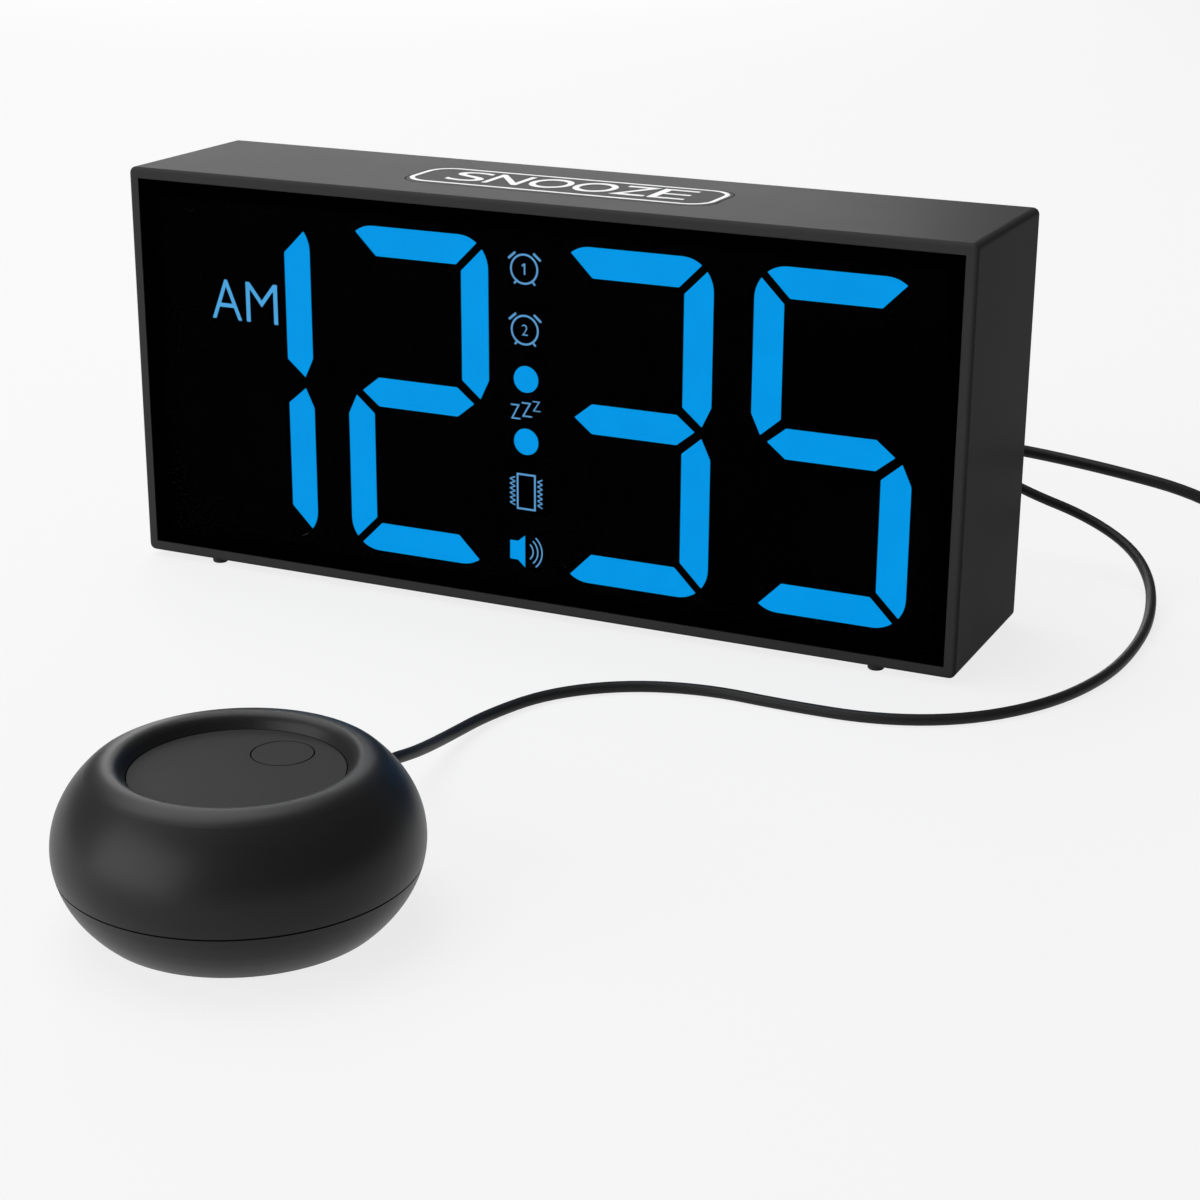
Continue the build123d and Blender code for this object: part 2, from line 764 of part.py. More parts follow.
shaker_spot = Pos(shaker_x, shaker_y, 0) * Rot(0, 0, shaker_turn - 90)
crest_start_share = 0.8
crest_radius = 5.5
lip_radius = 2.2
lip_fall = 60.0
tongue_thick = 0.9
tongue_height = 1.4
tongue_play = 0.15
slip = 0.05
boss_circle = 20.4
boss_radius = 3.2
boss_split = 7.0
shell_screw_radius = 1.0
shell_screw_pass = 1.2
shell_screw_head = 2.1
shell_screw_tip = 16.0
shell_screw_tip_gap = 1.0
clamp_screw_head = 1.95
boss_turns = (30.0, 150.0, 270.0)
gland_hole = 2.5
gland_play = 0.15
gland_inside = 24.2
gland_flange = 3.4
gland_flange_thick = 1.0
gland_collar = 2.9
gland_collar_start = 29.5
gland_collar_thick = 0.7
gland_end = 35.0
motor_along = -6.2
motor_height = 11.8
motor_radius = 7.8
motor_low = -17.5
motor_high = 5.5
shaft_radius = 1.0
shaft_play = 0.05
shaft_depth = 9.0
weight_low = 7.5
weight_high = 16.5
weight_radius = 8.2
hub_radius = 2.4
clamp_low = -11.0
clamp_high = -4.5
clamp_wall = 1.4
clamp_ear = 12.9
clamp_screw_reach = 11.3
floor_screw_depth = 1.4
shaker_board_side = 13.0
shaker_board_thick = 1.2
shaker_post_reach = 5.0
shaker_post_radius = 1.8
shaker_floor = shaker_base_lift + shaker_wall
shaker_ceiling = disc_height - disc_thick - disc_floor
shaker_key_seat = Plane(origin=(shaker_key_across, shaker_key_along, shaker_ceiling), z_dir=(0, 0, 1))
shaker_board_low = shaker_ceiling - shaker_board_gap - shaker_board_thick
clamp_middle = (clamp_low + clamp_high) / 2


def shell_radius(z, inset=0.0):
    """The radius of the shaker's bun-shaped side at a height, or of the same side set in by a wall."""
    ratio = (z - shaker_waist) / (shaker_bulge - inset)
    return (shaker_radius - inset) * math.sqrt(1 - ratio ** 2)


def side_arc(low, high, inset=0.0):
    """The side's elliptical arc from one height to another, in the plane of radius and height."""
    span = [math.degrees(math.asin((z - shaker_waist) / (shaker_bulge - inset))) for z in (low, high)]
    return EllipticalCenterArc((0, shaker_waist), shaker_radius - inset, shaker_bulge - inset,
                               start_angle=span[0], arc_size=span[1] - span[0])


def turned(edges):
    return revolve(Plane.XZ * make_face(edges), axis=Axis.Z)


def hollow(low, high):
    """The round space inside the shells, between two heights."""
    side = side_arc(low, high, shaker_wall)
    return turned([Line((0, low), side @ 0), side, Line(side @ 1, (0, high)), Line((0, high), (0, low))])


def top_shell():
    low = shaker_seam + seam_gap / 2
    crest_r = crest_start_share * shaker_radius
    crest_z = shaker_waist + shaker_bulge * math.sqrt(1 - crest_start_share ** 2)
    slope = (shaker_bulge / shaker_radius) ** 2 * crest_r / (crest_z - shaker_waist)
    lean = math.atan(slope)
    top = (crest_r - crest_radius * math.sin(lean), crest_z + crest_radius * (1 - math.cos(lean)))
    fall = math.radians(lip_fall)
    lip = (top[0] - lip_radius * math.sin(fall), top[1] - lip_radius * (1 - math.cos(fall)))
    foot = (lip[0] - (lip[1] - disc_height) / math.tan(fall), disc_height)
    side = side_arc(low, crest_z)
    rise = TangentArc(side @ 1, top, tangent=(-math.cos(lean), math.sin(lean)))
    roll = TangentArc(top, lip, tangent=(-1, 0))
    shell = turned([Line((0, low), side @ 0), side, rise, roll, Line(lip, foot),
                    Line(foot, (0, disc_height)), Line((0, disc_height), (0, low))])
    shell -= rod((0, 0, disc_height - disc_thick), (0, 0, 1), disc_radius + disc_gap, disc_thick + overrun)
    shell -= hollow(low, shaker_ceiling)
    rebate = shell_radius(shaker_seam, shaker_wall) + tongue_thick + tongue_play
    shell -= rod((0, 0, low), (0, 0, 1), rebate, shaker_seam + tongue_height - low)
    return shell


def boss_places():
    return [(boss_circle * math.cos(math.radians(turn)), boss_circle * math.sin(math.radians(turn)))
            for turn in boss_turns]


def make_shaker_shells():
    top = top_shell()
    for x, y in boss_places():
        top += rod((x, y, boss_split), (0, 0, 1), boss_radius - slip, shaker_ceiling - boss_split)
        top -= rod((x, y, boss_split), (0, 0, 1), shell_screw_radius + slip, shell_screw_tip - boss_split)
    key_hole = extrude(shaker_key_seat.offset(-overrun) * shaker_key_outline(key_gap),
                       amount=disc_floor + disc_thick + 2 * overrun)
    top -= key_hole
    low = shaker_base_lift
    high = shaker_seam - seam_gap / 2
    side = side_arc(low, high)
    base = turned([Line((0, low), side @ 0), side, Line(side @ 1, (0, high)), Line((0, high), (0, low))])
    base -= hollow(shaker_floor, high)
    inner = shell_radius(shaker_seam, shaker_wall)
    root = (0, 0, high - tongue_height)
    tongue_length = shaker_seam + 2 * tongue_height - high
    base += rod(root, (0, 0, 1), inner + tongue_thick, tongue_length) - rod(root, (0, 0, 1), inner, tongue_length)
    for x, y in boss_places():
        base += rod((x, y, shaker_floor), (0, 0, 1), boss_radius, boss_split - shaker_floor)
        base -= rod((x, y, 0), (0, 0, 1), shell_screw_pass, 2 * boss_split)
        base -= rod((x, y, 0), (0, 0, 1), shell_screw_head + head_clearance, shaker_floor)
    base -= rod((0, 0, 0), (0, 0, 1), pad_radius, shaker_base_lift + pad_sink)
    for side in (-1, 1):
        post = (side * shaker_post_reach, shaker_key_along, shaker_floor)
        base += rod(post, (0, 0, 1), shaker_post_radius, shaker_board_low - shaker_floor)
        ear_hole = (clamp_middle, motor_along + side * clamp_screw_reach, shaker_floor)
        base -= rod(ear_hole, (0, 0, -1), shell_screw_radius + slip, floor_screw_depth)
    channel = rod((0, shaker_floor, shaker_seam), (0, 1, 0), gland_hole, shaker_radius)
    keep("shaker_top_shell", shaker_spot * (top - channel))
    keep("shaker_base_shell", shaker_spot * (base - channel))
    keep("shaker_pad", shaker_spot * rod((0, 0, 0), (0, 0, 1), pad_radius, shaker_base_lift + pad_sink))
    disc = rod((0, 0, disc_height - disc_thick), (0, 0, 1), disc_radius, disc_thick)
    keep("shaker_disc", shaker_spot * (disc - key_hole))


def make_shaker_key():
    key = press_key(shaker_key_seat, shaker_key_outline, disc_floor + disc_thick, 0.0, shaker_board_gap)
    keep("shaker_key", shaker_spot * key)
    half = shaker_board_side / 2
    board = block((-half, half), (shaker_key_along - half, shaker_key_along + half),
                  (shaker_board_low, shaker_board_low + shaker_board_thick))
    switch = tact_switch(shaker_key_seat, shaker_board_gap)
    keep("shaker_board", shaker_spot * board, shaker_spot * switch)


def make_motor():
    axis_low = (motor_low, motor_along, motor_height)
    axis_high = (motor_high, motor_along, motor_height)
    can = rod(axis_low, (1, 0, 0), motor_radius, motor_high - motor_low)
    can = chamfer(can.faces().sort_by(Axis.X)[0].edges(), shaft_radius)
    can -= rod(axis_high, (-1, 0, 0), shaft_radius + shaft_play, shaft_depth + slip)
    keep("shaker_motor", shaker_spot * can)
    shaft_start = (motor_high - shaft_depth, motor_along, motor_height)
    shaft = rod(shaft_start, (1, 0, 0), shaft_radius, weight_high - motor_high + shaft_depth)
    weight_start = (weight_low, motor_along, motor_height)
    length = weight_high - weight_low
    weight = rod(weight_start, (1, 0, 0), weight_radius, length)
    weight -= block((weight_low, weight_high), (motor_along - weight_radius, motor_along + weight_radius),
                    (motor_height, motor_height + weight_radius))
    weight += rod(weight_start, (1, 0, 0), hub_radius, length)
    weight -= rod(weight_start, (1, 0, 0), shaft_radius, length)
    keep("eccentric_weight", shaker_spot * shaft, shaker_spot * weight)


def make_motor_clamp():
    width = clamp_high - clamp_low
    bore = motor_radius + slip
    outer = bore + clamp_wall
    start = (clamp_low, motor_along, motor_height)
    clamp = rod(start, (1, 0, 0), outer, width)
    clamp += block((clamp_low, clamp_high), (motor_along - outer, motor_along + outer),
                   (shaker_floor, motor_height))
    clamp += block((clamp_low, clamp_high), (motor_along - clamp_ear, motor_along + clamp_ear),
                   (shaker_floor, shaker_floor + clamp_wall))
    clamp -= block((clamp_low, clamp_high), (motor_along - clamp_ear, motor_along + clamp_ear),
                   (0, shaker_floor))
    clamp -= rod(start, (1, 0, 0), bore, width)
    screws = []
    for side in (-1, 1):
        y = motor_along + side * clamp_screw_reach
        clamp -= rod((clamp_middle, y, shaker_floor), (0, 0, 1), shell_screw_pass, clamp_wall)
        head = rod((clamp_middle, y, shaker_floor + clamp_wall), (0, 0, 1), clamp_screw_head,
                   small_screw_head_thick)
        shank = rod((clamp_middle, y, shaker_floor + clamp_wall), (0, 0, -1), shell_screw_radius,
                    clamp_wall + floor_screw_depth - head_clearance)
        screws.append(shaker_spot * (head + shank))
    keep("motor_clamp", shaker_spot * clamp)
    for x, y in boss_places():
        head = rod((x, y, shaker_floor - small_screw_head_thick), (0, 0, 1), shell_screw_head,
                   small_screw_head_thick)
        shank = rod((x, y, shaker_floor), (0, 0, 1), shell_screw_radius,
                    shell_screw_tip - shell_screw_tip_gap - shaker_floor)
        screws.append(shaker_spot * (head + shank))
    keep("shaker_screws", *screws)


def make_gland():
    reach = gland_end - gland_inside
    body = rod((0, gland_inside, shaker_seam), (0, 1, 0), gland_hole - gland_play, gland_collar_start - gland_inside)
    flange = rod((0, gland_inside, shaker_seam), (0, 1, 0), gland_flange, gland_flange_thick)
    collar = rod((0, gland_collar_start, shaker_seam), (0, 1, 0), gland_collar, gland_collar_thick)
    tail_start = gland_collar_start + gland_collar_thick
    tail = cone((0, tail_start, shaker_seam), (0, 1, 0), gland_hole,
                shaker_cord_diameter / 2 + relief_overlap, gland_end - tail_start)
    keep("shaker_gland", shaker_spot * (body + flange + collar + tail))


# Cords. The points are chosen by hand: straight out of the plug or gland, then down to the table.

shaker_cord_points = [
    (56.0, 40.0, 28.0), (56.0, 51.0, 28.0), (61.5, 60.5, 25.2), (72.0, 65.0, 20.6), (84.9, 63.6, 15.8),
    (98.5, 64.2, 11.9), (110.5, 58.5, 8.0), (118.0, 46.5, 4.6), (121.8, 30.5, 1.9), (122.8, 12.0, 1.15),
    (121.2, -7.0, 1.15), (115.0, -25.0, 1.15), (103.5, -39.5, 1.15), (88.0, -47.0, 1.15),
    (70.0, -47.6, 1.15), (52.5, -46.4, 1.15), (37.0, -51.5, 1.15), (25.5, -62.5, 1.15),
    (20.6, -77.5, 1.3), (20.6, -91.5, 2.6), (22.6, -103.5, 5.2), (24.3, -113.5, 7.7),
]
gland_run = 9.0
power_cord_points = [
    (72.0, 40.0, 28.0), (72.0, 51.0, 28.0), (79.5, 59.0, 27.0), (91.0, 60.6, 25.7), (106.0, 60.2, 24.2),
    (123.0, 60.3, 21.6), (140.0, 60.0, 14.6), (156.0, 59.6, 6.2), (172.0, 60.2, 2.1),
]
coil_exit_run = 8.5
usb_end_points = [(171.5, 17.0, 6.5), (170.0, 8.5, 4.0), (170.0, 0.0, 4.0)]
coil_x = 190.0
coil_lift = 0.8
coil_turn_radius = 18.8
coil_step = 3.05
coil_layers = 4
half_turns = 5
reversal_share = 1.35
tie_gap = 0.3
tie_thick = 0.5
tie_width = 5.0


def corner_radii(points):
    radii = []
    for before, here, after in zip(points, points[1:], points[2:]):
        back = Vector(*here) - Vector(*before)
        on = Vector(*after) - Vector(*here)
        turn = math.radians(back.get_angle(on))
        radii.append(bend_share * min(back.length, on.length) / math.tan(turn / 2))
    return radii


def tube(points, diameter, name):
    """A cord's free stretch: straight runs joined by arcs as large as the runs allow."""
    radii = corner_radii(points)
    path = FilletPolyline(*points, radius=radii)
    start = Plane(origin=path @ 0, z_dir=path % 0)
    solid = sweep(start * Circle(diameter / 2), path=path)
    section = math.pi * diameter ** 2 / 4
    print(name, "radii", [round(r, 1) for r in radii], "length", round(path.length, 1),
          "volume ratio", round(solid.volume / (section * path.length), 4))
    return solid, path.length


def climb(start, end, tangent):
    """A half turn that rises to the next layer, as two quarter arcs."""
    reach = (end - start).length / 2
    joint = (start + end) / 2 + tangent * reach
    first = TangentArc(start, joint, tangent=tangent)
    return [first, TangentArc(joint, end, tangent=first % 1)]


def layer_steps():
    """How far each half turn of a layer moves in or out; the first and last leave room for the climbs."""
    step = coil_step / 2
    return [step * reversal_share] + [step] * (half_turns - 2) + [step * reversal_share]


def coil_edges(centre):
    """Layers that spiral in and out in half turns, and climb where the spiral reverses."""
    out = Vector(0, 1, 0)
    ahead = Vector(1, 0, 0)
    reach = coil_turn_radius
    here = Vector(*centre) + out * reach
    edges = [Line(here - ahead * power_cord_diameter, here)]
    for layer in range(coil_layers):
        side = -1 if layer % 2 == 0 else 1
        for step in layer_steps():
            reach += side * step
            there = Vector(centre[0], centre[1], here.Z) - out * reach
            edges.append(TangentArc(here, there, tangent=ahead))
            here = there
            out = out * -1
            ahead = ahead * -1
        if layer < coil_layers - 1:
            there = here - out * (2 * reach) + Vector(0, 0, coil_step)
            edges += climb(here, there, ahead)
            here = there
            out = out * -1
            ahead = ahead * -1
    edges.append(Line(here, here + ahead * power_cord_diameter))
    return edges


def least_gap(edges, diameter):
    """The least distance between turns of a coil, less the wire, on points along it."""
    points = []
    for edge in edges:
        count = max(1, math.ceil(2 * edge.length / diameter))
        points += [tuple(edge @ (i / count)) for i in range(count)]
    skip = 8
    gaps = []
    for i, point in enumerate(points):
        gaps += [math.dist(point, other) for other in points[i + skip:]]
    return min(gaps) - diameter


def make_power_cord():
    half = power_cord_diameter / 2
    centre_z = coil_lift + half
    join_y = power_cord_points[-1][1]
    centre = (coil_x, join_y - coil_turn_radius, centre_z)
    edges = coil_edges(centre)
    start = edges[0] @ 0
    end = edges[-1] @ 1
    path = Wire(edges)
    coil = sweep(Plane(origin=start, z_dir=(1, 0, 0)) * Circle(half), path=path)
    ratio = coil.volume / (math.pi * half ** 2 * path.length)
    print("power_cord_coil length", round(path.length, 1), "volume ratio", round(ratio, 4),
          "least gap", round(least_gap(edges, power_cord_diameter), 3))
    free, free_length = tube(power_cord_points + [tuple(start)], power_cord_diameter, "power_cord")
    leave = (end.X - coil_exit_run, end.Y, end.Z)
    tail, tail_length = tube([tuple(end), leave] + usb_end_points, power_cord_diameter, "power_cord_tail")
    keep("power_cord", free)
    keep("power_cord_coil", coil)
    keep("power_cord_tail", tail)
    print("power cord in all", round(free_length + path.length + tail_length, 1))
    make_tie(centre)


def make_tie(centre):
    """A flat tie round the bundle of turns, on the side away from the clock."""
    half = power_cord_diameter / 2
    inner = coil_turn_radius - sum(layer_steps()) - half - coil_step / 4
    outer = coil_turn_radius + half + coil_step / 4
    high = centre[2] + (coil_layers - 1) * coil_step + half
    low = centre[2] - half
    width = outer - inner + 2 * tie_gap
    height = high - low + 2 * tie_gap
    middle = Plane(origin=(centre[0] + (inner + outer) / 2, centre[1], (low + high) / 2),
                   x_dir=(1, 0, 0), z_dir=(0, 1, 0))
    ring = RectangleRounded(width + 2 * tie_thick, height + 2 * tie_thick, tie_gap + tie_thick + half)
    ring -= RectangleRounded(width, height, tie_gap + half)
    keep("cord_tie", extrude(middle * ring, amount=tie_width / 2, both=True))


usb_grip_width = 15.0
usb_grip_thick = 8.0
usb_grip_length = 22.0
usb_grip_round = 2.0
usb_relief = 8.0
usb_shell_width = 12.0
usb_shell_thick = 4.5
usb_shell_length = 13.5
usb_shell_wall = 0.4
usb_tongue_thick = 1.5


def make_usb_plug():
    """The USB plug, lying flat on the table with its mouth towards the front."""
    end = usb_end_points[-1]
    x, y, z = end
    grip_back = y - usb_relief
    grip_front = grip_back - usb_grip_length
    shell_front = grip_front - usb_shell_length
    grip = block((x - usb_grip_width / 2, x + usb_grip_width / 2), (grip_front, grip_back),
                 (z - usb_grip_thick / 2, z + usb_grip_thick / 2))
    grip = fillet(grip.edges().filter_by(Axis.Y), usb_grip_round)
    grip += cone((x, grip_back + relief_overlap, z), (0, 1, 0), relief_radius,
                 power_cord_diameter / 2 + relief_overlap, usb_relief - relief_overlap)
    grip += rod((x, grip_back, z), (0, 1, 0), relief_radius, relief_overlap)
    half_w = usb_shell_width / 2 - usb_shell_wall
    tongue_low = z + usb_shell_thick / 2 - usb_shell_wall - usb_tongue_thick
    tongue = block((x - half_w, x + half_w), (shell_front + usb_shell_wall, grip_front),
                   (tongue_low, tongue_low + usb_tongue_thick))
    keep("usb_plug_grip", grip + tongue)
    shell = block((x - usb_shell_width / 2, x + usb_shell_width / 2), (shell_front, grip_front),
                  (z - usb_shell_thick / 2, z + usb_shell_thick / 2))
    shell -= block((x - half_w, x + half_w), (shell_front, grip_front),
                   (z - usb_shell_thick / 2 + usb_shell_wall, z + usb_shell_thick / 2 - usb_shell_wall))
    keep("usb_plug_shell", shell)


def make_shaker_cord():
    ends = [shaker_spot * Pos(0, gland_end + run, shaker_seam) for run in (gland_run, 0)]
    points = shaker_cord_points + [tuple(end.position) for end in ends]
    cord, _ = tube(points, shaker_cord_diameter, "shaker_cord")
    print("cord meets the gland at", [[round(value, 2) for value in end.position] for end in ends])
    keep("shaker_cord", cord)


make_keys()
make_snooze_board()
make_housing()
make_feet()
make_display()
make_leds()
make_main_board()
make_sliders()
make_dimmer()
make_sockets_and_plugs()
make_speaker()
make_battery()
make_rear_cover()
make_screws()
make_shaker_shells()
make_shaker_key()
make_motor()
make_motor_clamp()
make_gland()
make_power_cord()
make_usb_plug()
make_shaker_cord()

for name, solids in nodes.items():
    shapes = [solid for item in solids for solid in item.solids()]
    export_step(Compound(children=shapes), f"parts/{name}.step")
print(len(nodes), "nodes")
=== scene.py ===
import math
import bpy
import bmesh
from mathutils import Matrix, Vector


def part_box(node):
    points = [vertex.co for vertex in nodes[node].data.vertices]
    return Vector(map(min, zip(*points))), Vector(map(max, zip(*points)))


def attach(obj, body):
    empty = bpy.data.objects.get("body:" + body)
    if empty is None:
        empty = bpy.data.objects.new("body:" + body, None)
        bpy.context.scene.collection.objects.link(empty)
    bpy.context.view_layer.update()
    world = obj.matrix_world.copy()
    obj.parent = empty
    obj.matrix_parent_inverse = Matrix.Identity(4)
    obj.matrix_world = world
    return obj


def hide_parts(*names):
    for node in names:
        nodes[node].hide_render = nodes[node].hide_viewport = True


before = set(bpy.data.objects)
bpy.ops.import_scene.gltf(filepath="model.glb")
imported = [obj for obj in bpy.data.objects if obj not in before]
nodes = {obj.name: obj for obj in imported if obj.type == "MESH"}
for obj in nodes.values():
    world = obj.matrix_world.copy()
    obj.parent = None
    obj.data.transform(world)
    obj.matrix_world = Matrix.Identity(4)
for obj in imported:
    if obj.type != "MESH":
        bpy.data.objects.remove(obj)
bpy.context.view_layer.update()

print("clock loaded,", len(nodes), "nodes")


def metres(*millimetres):
    return tuple(value / 1000 for value in millimetres)


# found from the corners of the case in the picture
camera = {"yaw": 24.86, "pitch": 19.25, "roll": 0.39, "lens": 75.0, "sensor": 36, "nearest": 0.01,
          "place": (0.2250, -0.4679, 0.1783)}


def placeCamera():
    yaw, pitch, roll = (math.radians(camera[name]) for name in ("yaw", "pitch", "roll"))
    ahead = Vector((-math.sin(yaw) * math.cos(pitch), math.cos(yaw) * math.cos(pitch), -math.sin(pitch)))
    level = Vector((math.cos(yaw), math.sin(yaw), 0))
    lift = level.cross(ahead)
    right = level * math.cos(roll) + lift * math.sin(roll)
    up = lift * math.cos(roll) - level * math.sin(roll)
    data = bpy.data.cameras.new("camera")
    data.sensor_width = camera["sensor"]
    data.lens = camera["lens"]
    data.clip_start = camera["nearest"]
    seen = bpy.data.objects.new("camera", data)
    turned = Matrix((right, up, -ahead)).transposed().to_4x4()
    seen.matrix_world = Matrix.Translation(camera["place"]) @ turned
    bpy.context.scene.collection.objects.link(seen)
    bpy.context.scene.camera = seen


placeCamera()
bpy.context.scene.view_settings.view_transform = "Standard"


# millimetres; the same route points as the cords' solids have
shakerCord = {
    "thickness": 0.0023,
    "length": 0.335,
    "exit": metres(56, 40, 28),
    "route": [(56, 40, 28), (56, 51, 28), (61.5, 60.5, 25.2), (72, 65, 20.6), (84.9, 63.6, 15.8),
              (98.5, 64.2, 11.9), (110.5, 58.5, 8.0), (118, 46.5, 4.6), (121.8, 30.5, 1.9),
              (122.8, 12, 1.15), (121.2, -7, 1.15), (115, -25, 1.15), (103.5, -39.5, 1.15),
              (88, -47, 1.15), (70, -47.6, 1.15), (52.5, -46.4, 1.15), (37, -51.5, 1.15),
              (25.5, -62.5, 1.15), (20.6, -77.5, 1.3), (20.6, -91.5, 2.6), (22.6, -103.5, 5.2),
              (24.3, -113.5, 7.7), (24.54, -122.03, 9.7), (24.22, -131.02, 9.7)],
}
powerCord = {
    "thickness": 0.0026,
    "length": 1.2,
    "exit": metres(72, 40, 28),
    "route": [(72, 40, 28), (72, 51, 28), (79.5, 59, 27), (91, 60.6, 25.7), (106, 60.2, 24.2),
              (123, 60.3, 21.6), (140, 60, 14.6), (156, 59.6, 6.2), (172, 60.2, 2.1)],
    "tail": [(178.9, 22.6, 11.25), (171.5, 17, 6.5), (170, 8.5, 4), (170, 0, 4)],
}
putAway = {"centre": (190, 41.4), "height": 2.1, "radius": 18.8, "step": 3.05, "layers": 4,
           "halfTurns": 5, "firstStep": 1.35, "perHalfTurn": 8, "swell": 1.0195}
cordRounding = {"along": 6, "around": 3}


def coilPoints():
    # half turns that spiral in and out, and climb to the next layer where the spiral reverses
    points = []
    reach, height, side = putAway["radius"], putAway["height"], 1
    cx, cy = putAway["centre"]
    count = putAway["perHalfTurn"]

    def halfTurn(first, last, low, high):
        middle = side * (first - last) / 2
        wide = (first + last) / 2 * putAway["swell"]
        for i in range(count):
            angle = math.pi * (i + 0.5) / count
            points.append((cx + side * wide * math.sin(angle),
                           cy + middle + side * wide * math.cos(angle),
                           low + (high - low) * (1 - math.cos(angle)) / 2))

    for layer in range(putAway["layers"]):
        inward = -1 if layer % 2 == 0 else 1
        for turn in range(putAway["halfTurns"]):
            step = putAway["step"] / 2
            if turn in (0, putAway["halfTurns"] - 1):
                step *= putAway["firstStep"]
            halfTurn(reach, reach + inward * step, height, height)
            reach += inward * step
            side = -side
        if layer < putAway["layers"] - 1:
            halfTurn(reach, reach, height, height + putAway["step"])
            height += putAway["step"]
            side = -side
    return points


def laidCord(name, route, cord):
    curve = bpy.data.curves.new(name, "CURVE")
    curve.dimensions = "3D"
    spline = curve.splines.new("NURBS")
    spline.points.add(len(route) - 1)
    for point, place in zip(spline.points, route):
        point.co = (*metres(*place), 1)
        point.radius = cord["thickness"] / 2
    spline.order_u = 3
    spline.use_endpoint_u = True
    curve.resolution_u = cordRounding["along"]
    curve.bevel_depth = 1.0  # times each point's radius
    curve.bevel_resolution = cordRounding["around"]
    curve.use_fill_caps = True
    made = bpy.data.objects.new(name, curve)
    bpy.context.scene.collection.objects.link(made)
    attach(made, "clock")
    return made


shakerLead = laidCord("shakerLead", shakerCord["route"], shakerCord)
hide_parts("shaker_cord")

wholeRoute = powerCord["route"] + coilPoints() + powerCord["tail"]
powerLead = laidCord("powerLead", wholeRoute, powerCord)
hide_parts("power_cord", "power_cord_coil", "power_cord_tail")
print("cords laid")


class Wire:  # a socket that plain sums can be done on
    def __init__(self, bench, socket):
        self.bench = bench
        self.socket = socket

    def sum(self, operation, first, second):
        return self.bench.node("Math", {"operation": operation}, {0: first, 1: second})

    def __add__(self, other):
        return self.sum("ADD", self, other)

    def __mul__(self, other):
        return self.sum("MULTIPLY", self, other)

    __radd__ = __add__
    __rmul__ = __mul__


class Bench:  # a node tree and the ways to add to it
    def __init__(self, tree):
        self.tree = tree

    def node(self, kind, settings=None, values=None, out=0):
        made = self.tree.nodes.new("ShaderNode" + kind)
        for name, value in (settings or {}).items():
            if name == "stops":
                self.layStops(made.color_ramp, value)
            else:
                setattr(made, name, value)
        self.fill(made, values or {})
        return Wire(self, made.outputs[out])

    def layStops(self, ramp, stops):
        while len(ramp.elements) < len(stops):
            ramp.elements.new(0.5)
        for element, (place, colour) in zip(ramp.elements, stops):
            element.position = place
            element.color = colour

    def fill(self, node, values):
        for name, value in values.items():
            if isinstance(value, Wire):
                self.tree.links.new(value.socket, node.inputs[name])
            else:
                node.inputs[name].default_value = value

    def mixed(self, share, first, second):
        return self.node("Mix", {"data_type": "RGBA"}, {0: share, 6: first, 7: second}, out=2)

    def unlitRays(self):
        # 1 where the camera, a reflection or a see-through piece looks, 0 for the light that falls
        path = "LightPath"
        seen = self.node(path, out="Is Camera Ray")
        seen = seen.sum("MAXIMUM", seen, self.node(path, out="Is Glossy Ray"))
        return seen.sum("MAXIMUM", seen, self.node(path, out="Is Transmission Ray"))


class Finish(Bench):  # a material with its main shader
    def __init__(self, name, **plain):
        self.material = bpy.data.materials.new(name)
        self.material.use_nodes = True
        super().__init__(self.material.node_tree)
        self.shader = self.tree.nodes["Principled BSDF"]
        self.set({key.replace("_", " "): value for key, value in plain.items()})

    def set(self, values):
        self.fill(self.shader, values)

    def place(self):
        return self.node("TexCoord", out="Object")

    def noise(self, grain, detail, rough=0.5):
        return self.node("TexNoise", None, {"Vector": self.place(), "Scale": 1 / grain,
                                            "Detail": detail, "Roughness": rough}, out="Fac")

    def bump(self, height, depth, strength):
        raised = self.node("Bump", None, {"Height": height, "Distance": depth, "Strength": strength})
        self.set({"Normal": raised})


def grey(level, warm=0.0):
    return (level * (1 + warm), level, level * (1 - warm), 1)


# grain and depth are the size and the height of the mould's texture
plastics = {
    "caseMoulding": {"tone": 0.038, "rough": 0.42, "specular": 0.007, "grain": 0.00042, "depth": 1.8e-5},
    "keyMoulding": {"tone": 0.039, "rough": 0.44, "specular": 0.007, "grain": 0.00042, "depth": 1.8e-5},
    "shakerMoulding": {"tone": 0.015, "rough": 0.38, "specular": 0.20, "grain": 0.00030, "depth": 8e-6},
    "discMoulding": {"tone": 0.034, "rough": 0.45, "specular": 0.02, "grain": 0.00035, "depth": 1.2e-5},
    "switchMoulding": {"tone": 0.022, "rough": 0.45, "specular": 0.4, "grain": 0.0003, "depth": 1e-5},
    "gripMoulding": {"tone": 0.018, "rough": 0.50, "specular": 0.3, "grain": 0.00035, "depth": 1e-5},
    "footRubber": {"tone": 0.016, "rough": 0.72, "specular": 0.25, "grain": 0.0005, "depth": 2e-5},
    "innerWhite": {"tone": 0.70, "rough": 0.50, "specular": 0.4, "grain": 0.0006, "depth": 1e-5},
    "coneCard": {"tone": 0.035, "rough": 0.85, "specular": 0.1, "grain": 0.0004, "depth": 4e-5},
}
moulding = {"cloud": 0.012, "darkest": 0.86, "palest": 1.14, "warmth": 0.01, "glossSwing": 0.05,
            "bump": 0.6}


